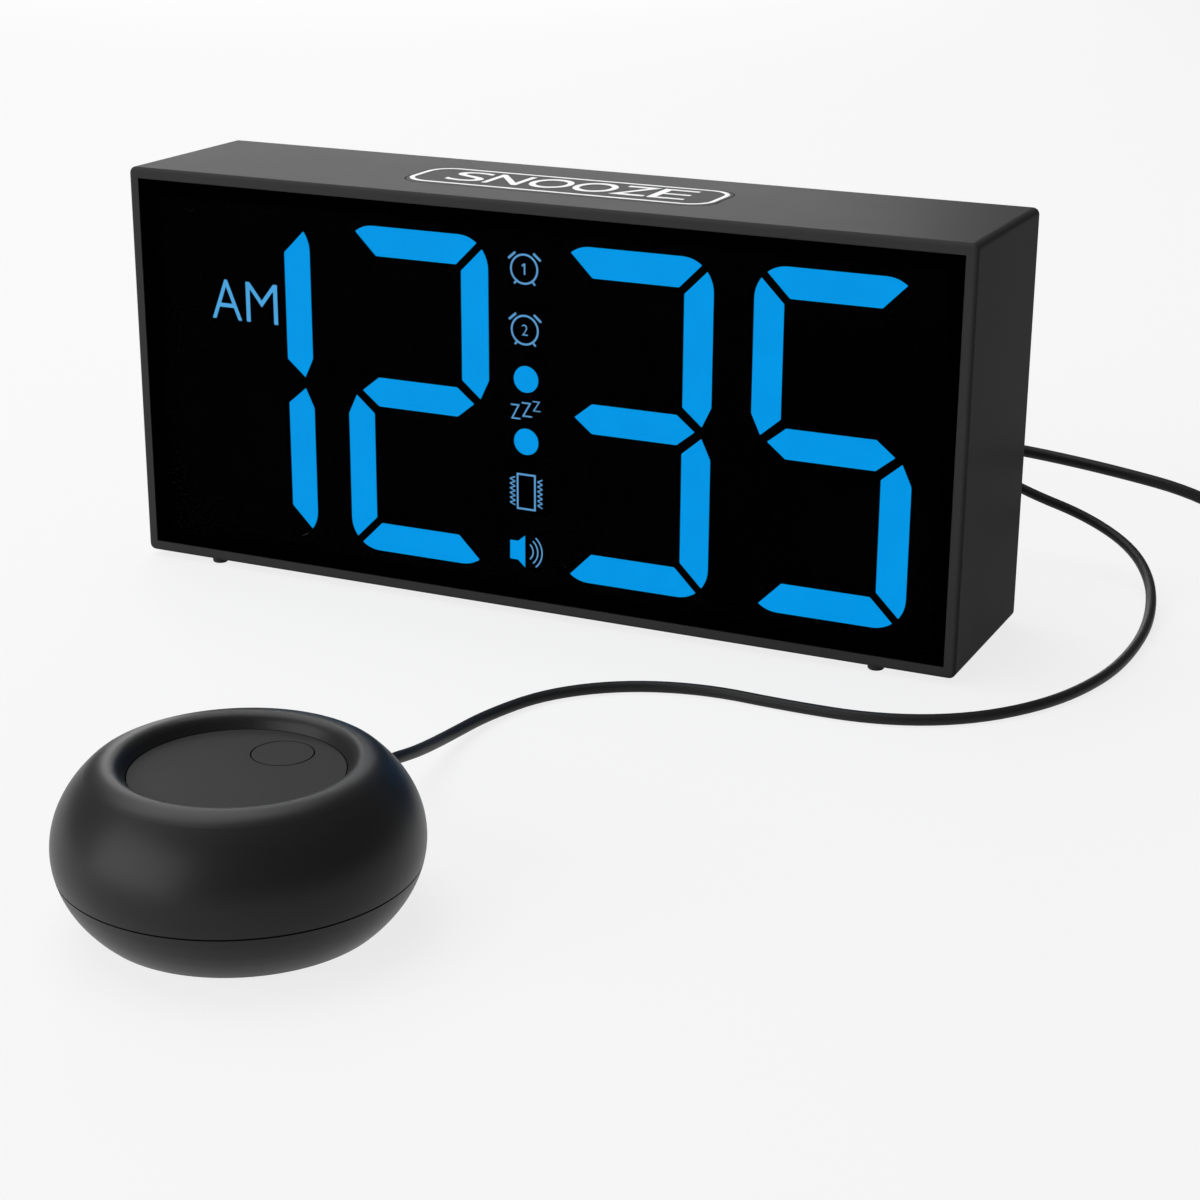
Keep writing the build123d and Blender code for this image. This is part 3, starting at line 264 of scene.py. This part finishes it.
def mouldedFinish(name):
    look = plastics[name]
    finish = Finish(name, Specular_IOR_Level=look["specular"])
    fine = finish.noise(look["grain"], 3.0, 0.6)
    cloud = finish.noise(moulding["cloud"], 2.0)
    shade = fine * 0.5 + cloud * 0.5
    dark = grey(look["tone"] * moulding["darkest"])
    pale = grey(look["tone"] * moulding["palest"], moulding["warmth"])
    swing = moulding["glossSwing"]
    finish.set({"Base Color": finish.mixed(shade, dark, pale),
                "Roughness": look["rough"] - swing + shade * (2 * swing)})
    finish.bump(fine, look["depth"], moulding["bump"])
    return finish.material


metals = {
    "platedSteel": {"colour": (0.55, 0.55, 0.56, 1), "rough": 0.32, "grain": 0.0004},
    "brightPlate": {"colour": (0.72, 0.72, 0.71, 1), "rough": 0.18, "grain": 0.0006},
    "turnedBrass": {"colour": (0.60, 0.45, 0.20, 1), "rough": 0.30, "grain": 0.0003},
}
polish = {"darkest": 0.82, "glossSwing": 0.06, "depth": 1e-5, "bump": 0.5}


def metalFinish(name):
    look = metals[name]
    finish = Finish(name, Metallic=1.0)
    lines = finish.noise(look["grain"], 3.0, 0.6)
    dark = tuple(value * polish["darkest"] for value in look["colour"][:3]) + (1,)
    swing = polish["glossSwing"]
    finish.set({"Base Color": finish.mixed(lines, dark, look["colour"]),
                "Roughness": look["rough"] - swing + lines * (2 * swing)})
    finish.bump(lines, polish["depth"], polish["bump"])
    return finish.material


display = {
    "lit": (0.0003, 0.292, 0.740, 1), "litDeep": (0.0003, 0.262, 0.690, 1),
    "icon": (0.105, 0.300, 0.560, 1), "iconDeep": (0.085, 0.255, 0.500, 1),
    "letters": (0.074, 0.352, 0.680, 1), "lettersDeep": (0.060, 0.310, 0.620, 1),
    "off": (0, 0.01, 0.02, 1), "offPale": (0, 0.015, 0.03, 1), "patch": 0.009, "strength": 1.15,
}


def glowFinish(name, colour, deep):
    # the light behind a bar is a little uneven
    finish = Finish(name, Roughness=0.5, Specular_IOR_Level=0.02,
                    Emission_Strength=display["strength"])
    uneven = finish.noise(display["patch"], 1.0)
    finish.set({"Base Color": finish.mixed(uneven, display["off"], display["offPale"]),
                "Emission Color": finish.mixed(uneven, deep, colour)})
    return finish.material


# surfaces that only mottle between two tones, and are rough from the first figure up by the second
mottled = {
    "smokedLens": {"grain": 0.02, "detail": 2.0, "dark": grey(0.002), "pale": grey(0.004),
                   "rough": (0.05, 0.06), "set": {"Specular_IOR_Level": 0.08, "Alpha": 0.04}},
    # near black: the film's own black print, and also the painted shade laid over the bars that are off
    "blackPrintAndShade": {"grain": 0.0005, "detail": 2.0, "dark": grey(0.0001), "pale": grey(0.0003),
                    "rough": (0.6, 0.2), "set": {"Specular_IOR_Level": 0.0}},
    "ledResin": {"grain": 0.0008, "detail": 1.0, "dark": (0.75, 0.74, 0.62, 1),
                 "pale": (0.85, 0.85, 0.80, 1), "rough": (0.2, 0.1), "set": {"Specular_IOR_Level": 0.5}},
    "whiteInk": {"grain": 0.0006, "detail": 3.0, "dark": grey(0.744), "pale": grey(0.80),
                 "rough": (0.5, 0.1), "set": {"Specular_IOR_Level": 0.3}},
}


def mottledFinish(name):
    look = mottled[name]
    finish = Finish(name, **look["set"])
    share = finish.noise(look["grain"], look["detail"])
    smooth, more = look["rough"]
    finish.set({"Base Color": finish.mixed(share, look["dark"], look["pale"]),
                "Roughness": smooth + share * more})
    return finish.material


circuitBoard = {"tracks": 260.0, "gap": 0.03, "copper": (0.012, 0.075, 0.030, 1),
                "copperPale": (0.016, 0.100, 0.040, 1), "mask": (0.03, 0.16, 0.07, 1),
                "stain": (0.010, 0.060, 0.026, 1), "stainShare": 0.3, "cloud": 0.004}


def boardFinish():
    finish = Finish("circuitBoard", Specular_IOR_Level=0.5, Coat_Weight=0.4)
    tracks = finish.node("TexBrick", {"offset": 0.5}, {
        "Vector": finish.place(), "Scale": circuitBoard["tracks"], "Mortar Size": circuitBoard["gap"],
        "Color1": circuitBoard["copper"], "Color2": circuitBoard["copperPale"],
        "Mortar": circuitBoard["mask"]})
    cloud = finish.noise(circuitBoard["cloud"], 3.0)
    stained = finish.mixed(cloud * circuitBoard["stainShare"], tracks, circuitBoard["stain"])
    finish.set({"Base Color": stained, "Roughness": 0.3 + cloud * 0.15})
    return finish.material


cordJacket = {"drag": 0.0009, "dark": grey(0.012), "pale": grey(0.019), "rough": (0.40, 0.14),
              "depth": 1e-5, "bump": 0.5, "specular": 0.18}


def cordFinish():
    # extruded jacket with faint drag marks
    finish = Finish("cordJacket", Specular_IOR_Level=cordJacket["specular"])
    drag = finish.noise(cordJacket["drag"], 3.0, 0.6)
    smooth, more = cordJacket["rough"]
    finish.set({"Base Color": finish.mixed(drag, cordJacket["dark"], cordJacket["pale"]),
                "Roughness": smooth + drag * more})
    finish.bump(drag, cordJacket["depth"], cordJacket["bump"])
    return finish.material


finishes = {name: mouldedFinish(name) for name in plastics}
finishes["steel"] = metalFinish("platedSteel")
finishes["bright"] = metalFinish("brightPlate")
finishes["brass"] = metalFinish("turnedBrass")
finishes["lit"] = glowFinish("litBar", display["lit"], display["litDeep"])
finishes["icon"] = glowFinish("litIcon", display["icon"], display["iconDeep"])
finishes["letters"] = glowFinish("litLetters", display["letters"], display["lettersDeep"])
finishes["lens"] = mottledFinish("smokedLens")  # its own gloss is a thin veil over the display
finishes["film"] = mottledFinish("blackPrintAndShade")
finishes["board"] = boardFinish()
finishes["led"] = mottledFinish("ledResin")
finishes["ink"] = mottledFinish("whiteInk")  # pad print covers a little unevenly
finishes["cord"] = cordFinish()

dressing = {
    "caseMoulding": ["housing", "rear_cover", "battery_door"],
    "keyMoulding": ["snooze_key", "time_key", "alarm_1_key", "alarm_2_key", "up_key", "down_key",
                    "mode_slider", "volume_slider", "dimmer_wheel"],
    "shakerMoulding": ["shaker_top_shell", "shaker_base_shell"],
    "discMoulding": ["shaker_disc", "shaker_key"],
    "switchMoulding": ["key_switches", "slide_switches", "dimmer_pot", "power_socket", "shaker_socket"],
    "gripMoulding": ["power_plug_grip", "shaker_plug_grip", "usb_plug_grip", "shaker_gland", "cord_tie"],
    "footRubber": ["feet", "shaker_pad"],
    "innerWhite": ["light_box"],
    "coneCard": ["speaker_cone"],
    "steel": ["case_screws", "board_screws", "shaker_screws", "shaker_motor", "motor_clamp",
              "speaker_frame", "speaker_magnet"],
    "bright": ["cell_contacts", "coin_cell", "power_plug_pin", "shaker_plug_pin", "usb_plug_shell"],
    "brass": ["eccentric_weight"],
    "lit": ["hour_tens_bars", "hour_units_bars", "minute_tens_bars", "minute_units_bars",
            "colon_dots"],
    "lens": ["lens"],
    # the bars that are off are near black as well, painted shade of an unlit bar
    "film": ["display_film", "dark_bars"],
    "board": ["display_board", "main_board", "snooze_board", "shaker_board"],
    "led": ["display_leds"],
    "cord": ["power_cord", "power_cord_coil", "power_cord_tail", "shaker_cord"],
}


def dress(thing, finish):
    if not thing.material_slots:
        thing.data.materials.append(finish)
    for slot in thing.material_slots:
        slot.material = finish


for name, members in dressing.items():
    for member in members:
        dress(nodes[member], finishes[name])
dress(shakerLead, finishes["cord"])
dress(powerLead, finishes["cord"])
print("finishes made")


# printed and lit marks are drawn flat in millimetres, then laid on their face
faces = {  # what is right and up on each face, and the point on it that the drawing starts from
    "top": (Vector((1, 0, 0)), Vector((0, 1, 0)), Vector((0, 0, 88.1))),
    "display": (Vector((1, 0, 0)), Vector((0, 0, 1)), Vector((0, -19.0, 0))),
    "back": (Vector((-1, 0, 0)), Vector((0, 0, 1)), Vector((0, 21.0, 0))),
}
ink = {"thickness": 0.05, "letterDepth": 0.02, "capHeight": 0.72}  # capHeight is the font's own


def addPiece(name, shape, body, finish):
    mesh = bpy.data.meshes.new(name)
    shape.to_mesh(mesh)
    shape.free()
    made = bpy.data.objects.new(name, mesh)
    bpy.context.scene.collection.objects.link(made)
    dress(made, finish)
    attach(made, body)


def thicken(mesh, flat, by):
    # flat faces become a thin slab, whose far side stands off by the vector
    made = bmesh.ops.extrude_face_region(mesh, geom=flat)
    raised = [item for item in made["geom"] if isinstance(item, bmesh.types.BMVert)]
    bmesh.ops.translate(mesh, vec=Vector(by), verts=raised)


class Marks:  # one mesh of flat marks on one face
    def __init__(self):
        self.mesh = bmesh.new()

    def takeCurve(self, curve, fit=None):
        # a curve or a text becomes a mesh, is pressed flat, and may be fitted into a box
        holder = bpy.data.objects.new("mark", curve)
        bpy.context.scene.collection.objects.link(holder)
        bpy.context.view_layer.update()
        seen = holder.evaluated_get(bpy.context.evaluated_depsgraph_get())
        flat = bpy.data.meshes.new_from_object(seen)
        bpy.data.objects.remove(holder)
        bpy.data.curves.remove(curve)
        part = bmesh.new()
        part.from_mesh(flat)
        low = [min(vert.co[i] for vert in part.verts) for i in range(3)]
        high = [max(vert.co[i] for vert in part.verts) for i in range(3)]
        scale = [1, 1, ink["thickness"] / max(high[2] - low[2], 1e-6)]
        shift = [0, 0, -low[2]]
        if fit:
            left, bottom, right, top = fit
            scale[0] = (right - left) / (high[0] - low[0])
            scale[1] = (top - bottom) / (high[1] - low[1])
            shift[:2] = [left / scale[0] - low[0], bottom / scale[1] - low[1]]
        bmesh.ops.translate(part, vec=Vector(shift), verts=part.verts)
        bmesh.ops.scale(part, vec=Vector(scale), verts=part.verts)
        part.to_mesh(flat)
        part.free()
        self.mesh.from_mesh(flat)
        bpy.data.meshes.remove(flat)

    def letters(self, text, box, thin=0.0):
        # stretched to fill the box; thin takes a little off every stroke, or adds it
        curve = bpy.data.curves.new("letters", "FONT")
        curve.body = text
        curve.extrude = ink["letterDepth"]
        curve.offset = thin
        self.takeCurve(curve, box)

    def smallPrint(self, text, centre, height):
        # keeps the font's own width
        curve = bpy.data.curves.new("letters", "FONT")
        curve.body = text
        curve.align_x = "CENTER"
        curve.size = height / ink["capHeight"]
        curve.extrude = ink["letterDepth"] * curve.size
        before = len(self.mesh.verts)
        self.takeCurve(curve)
        self.mesh.verts.ensure_lookup_table()
        fresh = self.mesh.verts[before:]
        start = Vector((centre[0], centre[1] - height / 2, 0))
        bmesh.ops.translate(self.mesh, vec=start, verts=fresh)

    def lines(self, paths, width, closed=False):
        curve = bpy.data.curves.new("lines", "CURVE")
        curve.dimensions = "3D"
        for path in paths:
            spline = curve.splines.new("POLY")
            spline.points.add(len(path) - 1)
            for point, place in zip(spline.points, path):
                point.co = (place[0], place[1], 0, 1)
            spline.use_cyclic_u = closed
        curve.bevel_depth = width / 2
        curve.bevel_resolution = 2
        curve.use_fill_caps = True
        self.takeCurve(curve)

    def patch(self, outline):
        corners = [self.mesh.verts.new((x, y, 0)) for x, y in outline]
        thicken(self.mesh, [self.mesh.faces.new(corners)], (0, 0, ink["thickness"]))

    def lay(self, name, face, body, finish):
        right, up, start = faces[face]
        out = right.cross(up)
        bmesh.ops.recalc_face_normals(self.mesh, faces=self.mesh.faces)
        turn = Matrix((right, up, out)).transposed().to_4x4()
        onFace = Matrix.Scale(0.001, 4) @ Matrix.Translation(start) @ turn
        bmesh.ops.transform(self.mesh, matrix=onFace, verts=self.mesh.verts)
        addPiece(name, self.mesh, body, finish)


def arc(centre, radius, start, sweep, count):
    angles = [math.radians(start + sweep * i / count) for i in range(count + 1)]
    return [(centre[0] + radius * math.cos(angle), centre[1] + radius * math.sin(angle))
            for angle in angles]


def roundedOutline(left, bottom, right, top, radius):
    path = []
    for x, y, start in ((right - radius, top - radius, 0), (left + radius, top - radius, 90),
                        (left + radius, bottom + radius, 180), (right - radius, bottom + radius, 270)):
        path += arc((x, y), radius, start, 90, 10)
    return path


# each letter has its own left and right edge, as the print on the key has
snoozeLegend = {
    "letters": [("S", -27.3, -19.1, -0.006), ("N", -18.1, -10.0, 0.004), ("O", -8.8, 0.5, 0.004),
                ("O", 1.3, 10.7, 0.004), ("Z", 11.3, 18.9, 0.002), ("E", 19.7, 27.8, -0.007)],
    "rows": (-3.9, 6.4),
    "outline": (-34.5, -7.6, 34.1, 8.75, 4.9),
    "line": 1.15,
}


def makeSnoozeLegend():
    marks = Marks()
    low, high = snoozeLegend["rows"]
    for letter, left, right, thin in snoozeLegend["letters"]:
        marks.letters(letter, (left, low, right, high), thin)
    outline = roundedOutline(*snoozeLegend["outline"])
    marks.lines([outline], snoozeLegend["line"], closed=True)
    marks.lay("snoozeLegend", "top", "snooze", finishes["ink"])


bell = {
    "places": {"1": (-0.5, 74.1), "2": (-0.4, 61.45)},
    "radius": 3.0, "corners": 40, "line": 0.42,
    "ears": [[(-3.6, 1.98), (-2.0, 3.36)], [(2.1, 3.36), (3.75, 1.98)]], "earLine": 0.5,
    "feet": [[(-1.5, -2.3), (-2.3, -3.12)], [(1.7, -2.3), (2.5, -3.15)]],
    "one": [[(0.1, -1.15), (0.1, 1.15)], [(-0.5, 0.62), (0.12, 1.1)]], "oneLine": 0.36,
    "two": (-0.68, -1.15, 0.68, 1.15), "thin": -0.01,
}


def drawBell(marks, number, centre):
    x, y = centre

    def strokes(name, width):
        marks.lines([[(x + across, y + up) for across, up in path] for path in bell[name]], width)

    ring = arc(centre, bell["radius"], 0, 360, bell["corners"])[:-1]
    marks.lines([ring], bell["line"], closed=True)
    strokes("ears", bell["earLine"])
    strokes("feet", bell["line"])
    if number == "1":
        strokes("one", bell["oneLine"])
    else:
        left, bottom, right, top = bell["two"]
        marks.letters(number, (x + left, y + bottom, x + right, y + top), bell["thin"])


sleep = {"boxes": [(-3.7, 42.4, -1.5, 45.6), (-1.15, 43.1, 1.2, 46.2), (1.35, 44.5, 3.2, 46.7)],
         "thin": -0.02}
shake = {"box": (-2.2, 23.1, 1.85, 30.6), "line": 0.42, "overhang": 0.2, "rows": (23.7, 29.9),
         "teeth": 6, "sides": ((-4.0, -2.75), (2.45, 3.6)), "toothLine": 0.26}
sound = {"horn": [(-4.0, 11.7), (-2.15, 11.7), (-0.5, 10.2), (-0.5, 17.2), (-2.15, 15.85), (-4.0, 15.85)],
         "centre": (-0.7, 13.8), "rings": (2.1, 3.2, 4.2), "spread": 50, "corners": 14, "line": 0.30}


def makeDisplayIcons():
    marks = Marks()
    for number, centre in bell["places"].items():
        drawBell(marks, number, centre)
    for box in sleep["boxes"]:
        marks.letters("z", box, sleep["thin"])
    left, bottom, right, top = shake["box"]
    past = shake["overhang"]
    marks.lines([[(left, bottom), (left, top)], [(right, bottom), (right, top)],
                 [(left - past, bottom), (right + past, bottom)],
                 [(left - past, top), (right + past, top)]], shake["line"])
    low, high = shake["rows"]
    steps = 2 * shake["teeth"]
    for first, last in shake["sides"]:
        path = [(first if i % 2 else last, low + (high - low) * i / steps) for i in range(steps + 1)]
        marks.lines([list(pair) for pair in zip(path, path[1:])], shake["toothLine"])
    spread = sound["spread"]
    marks.lines([arc(sound["centre"], radius, -spread, 2 * spread, sound["corners"])
                 for radius in sound["rings"]], sound["line"])
    marks.lay("displayIcons", "display", "clock", finishes["icon"])
    horn = Marks()
    horn.patch(sound["horn"])
    horn.lay("soundHorn", "display", "clock", finishes["lit"])


morning = {"letters": {"A": (-76.3, -68.8), "M": (-67.6, -59.7)}, "rows": (56.4, 65.1), "thin": -0.011}


def makeMorningMark():
    marks = Marks()
    low, high = morning["rows"]
    for letter, (left, right) in morning["letters"].items():
        marks.letters(letter, (left, low, right, high), morning["thin"])
    marks.lay("morningMark", "display", "clock", finishes["letters"])


backPrint = {
    "letterHeight": 1.7,
    "words": [  # with x and height on the cover
        ("TIME", 15.96, 67.6), ("AL 1", 30.05, 67.6), ("AL 2", 44.14, 67.6), ("UP", 58.22, 67.6),
        ("DOWN", 72.31, 67.6), ("DIMMER", 44.0, 50.0), ("MODE", 17.49, 35.6), ("VOL", 30.77, 35.6),
        ("SHAKER", 55.97, 35.6), ("DC 5V", 71.99, 35.6),
    ],
}


def makeBackPrint():
    marks = Marks()
    for word, x, height in backPrint["words"]:
        marks.smallPrint(word, (-x, height), backPrint["letterHeight"])
    marks.lay("backPrint", "back", "clock", finishes["ink"])


lensBorder = {"inset": 0.05, "width": 2.7, "front": -20.85, "thick": 0.015}


def makeLensBorder():
    # black print round the edge of the lens, so that its thickness doesn't show
    low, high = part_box("lens")
    inset, width = metres(lensBorder["inset"], lensBorder["width"])
    front, thick = metres(lensBorder["front"], lensBorder["thick"])
    mesh = bmesh.new()
    bmesh.ops.create_grid(mesh, x_segments=1, y_segments=1, size=0.5)
    size = (high.x - low.x - 2 * inset, high.z - low.z - 2 * inset, 1)
    bmesh.ops.scale(mesh, vec=Vector(size), verts=mesh.verts)
    middle = mesh.faces[:]
    bmesh.ops.inset_region(mesh, faces=middle, thickness=width, use_even_offset=True, use_boundary=True)
    bmesh.ops.delete(mesh, geom=middle, context="FACES")
    thicken(mesh, mesh.faces[:], (0, 0, thick))
    bmesh.ops.recalc_face_normals(mesh, faces=mesh.faces)
    upright = Matrix(((1, 0, 0), (0, 0, -1), (0, 1, 0))).to_4x4()
    place = Matrix.Translation(((low.x + high.x) / 2, front, (low.z + high.z) / 2))
    bmesh.ops.transform(mesh, matrix=place @ upright, verts=mesh.verts)
    addPiece("lensBorder", mesh, "clock", finishes["film"])


offBarShade = {"overlap": 0.25, "thick": 0.015}
near = {"weld": 1e-6, "front": 1e-5, "flat": 0.01}  # how close counts as the same, in metres or radians


def makeOffBarShade():
    # a thin sheet of the film's near black over the windows of the bars that are off and the gaps round
    # them: painted shade, standing in for the dark inside of the unlit bars
    mesh = bmesh.new()
    mesh.from_mesh(nodes["dark_bars"].data)
    bmesh.ops.remove_doubles(mesh, verts=mesh.verts, dist=near["weld"])
    front = min(vert.co.y for vert in mesh.verts)
    behind = [vert for vert in mesh.verts if vert.co.y > front + near["front"]]
    bmesh.ops.delete(mesh, geom=behind, context="VERTS")
    bmesh.ops.dissolve_limit(mesh, angle_limit=near["flat"], verts=mesh.verts, edges=mesh.edges)
    overlap, thick = metres(offBarShade["overlap"], offBarShade["thick"])
    bmesh.ops.inset_region(mesh, faces=mesh.faces[:], thickness=overlap, use_outset=True,
                           use_even_offset=True, use_boundary=True)
    thicken(mesh, mesh.faces[:], (0, -thick, 0))
    bmesh.ops.recalc_face_normals(mesh, faces=mesh.faces)
    addPiece("offBarShade", mesh, "clock", finishes["film"])


makeLensBorder()
makeOffBarShade()
makeSnoozeLegend()
makeDisplayIcons()
makeMorningMark()
makeBackPrint()
print("marks laid")


studio = {"floor": 0.62, "floorGlow": 0.80, "floorReach": 12.0, "paper": 0.05,
          "world": 0.14, "backdrop": 0.68, "target": (0.03, -0.05, 0.03),
          "lamps": {"overhead": {"place": (-0.45, 0.10, 1.15), "size": 1.1, "power": 13.0},
                    "rear": {"place": (-0.75, 1.25, 0.55), "size": 0.9, "power": 8.0},
                    "frontFill": {"place": (-0.75, -1.25, 0.35), "size": 1.5, "power": 23.0}}}


def makeFloor():
    finish = Finish("paleFloor", Roughness=0.9, Specular_IOR_Level=0.0)
    paper = finish.noise(studio["paper"], 2.0)
    level = studio["floor"]
    finish.set({"Base Color": finish.mixed(paper, grey(level * 0.99), grey(level))})
    glow = finish.node("Emission", None, {"Color": (1, 1, 1, 1), "Strength": 1.0})
    share = finish.unlitRays() * studio["floorGlow"]
    plain = Wire(finish, finish.shader.outputs[0])
    shown = finish.node("MixShader", None, {0: share, 1: plain, 2: glow})
    finish.tree.links.new(shown.socket, finish.tree.nodes["Material Output"].inputs["Surface"])
    mesh = bmesh.new()
    bmesh.ops.create_grid(mesh, x_segments=1, y_segments=1, size=studio["floorReach"])
    data = bpy.data.meshes.new("floor")
    mesh.to_mesh(data)
    mesh.free()
    floor = bpy.data.objects.new("floor", data)
    bpy.context.scene.collection.objects.link(floor)
    dress(floor, finish.material)


def makeWorld():
    world = bpy.data.worlds.new("studio")
    world.use_nodes = True
    bpy.context.scene.world = world
    bench = Bench(world.node_tree)
    strength = bench.node("LightPath", out="Is Camera Ray") * studio["backdrop"] + studio["world"]
    bench.fill(world.node_tree.nodes["Background"], {"Color": (1, 1, 1, 1), "Strength": strength})


def makeLamps():
    target = Vector(studio["target"])
    for name, lamp in studio["lamps"].items():
        data = bpy.data.lights.new(name, "AREA")
        data.size = lamp["size"]
        data.energy = lamp["power"]
        made = bpy.data.objects.new(name, data)
        made.location = lamp["place"]
        made.rotation_euler = (target - Vector(lamp["place"])).to_track_quat("-Z", "Y").to_euler()
        bpy.context.scene.collection.objects.link(made)


makeFloor()
makeWorld()
makeLamps()
print("studio set")
